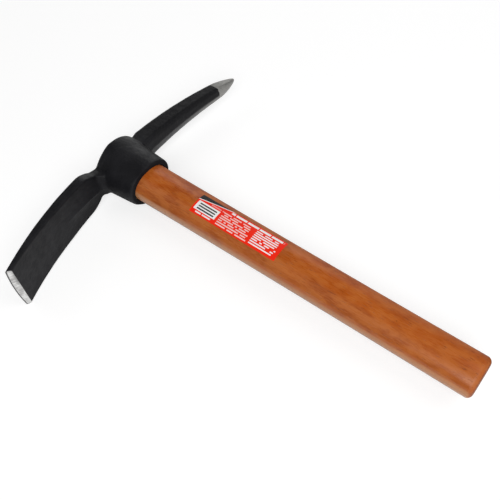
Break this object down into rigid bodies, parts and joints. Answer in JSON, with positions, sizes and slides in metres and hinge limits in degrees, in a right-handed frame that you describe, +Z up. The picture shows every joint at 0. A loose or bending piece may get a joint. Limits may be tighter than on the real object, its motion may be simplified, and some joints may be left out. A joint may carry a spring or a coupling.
{
  "type": "pick mattock",
  "caption": "Short-handled pick mattock: a black forged head with an adze blade and a pick, wedged on an oval stained wooden handle.",
  "frame": {"origin": "middle of the footprint, on the surface that the tool lies on its side on", "axes": "+X along the handle towards the butt, +Y towards the pick's point, -Y towards the adze's edge, +Z up across the blade"},
  "size_m": [0.357, 0.287, 0.0494],
  "materials": {
    "head": "satin black paint on forged steel, with a ground edge and a ground point",
    "handle": "hardwood, stained orange-brown and lacquered",
    "wood_wedge": "bare hardwood end grain",
    "steel_wedge": "plain mild steel, dull",
    "sticker": null
  },
  "bodies": {
    "root": {"head": "head", "handle": "handle", "wood_wedge": "wood_wedge", "steel_wedge_1": "steel_wedge", "steel_wedge_2": "steel_wedge"}
  },
  "joints": []
}
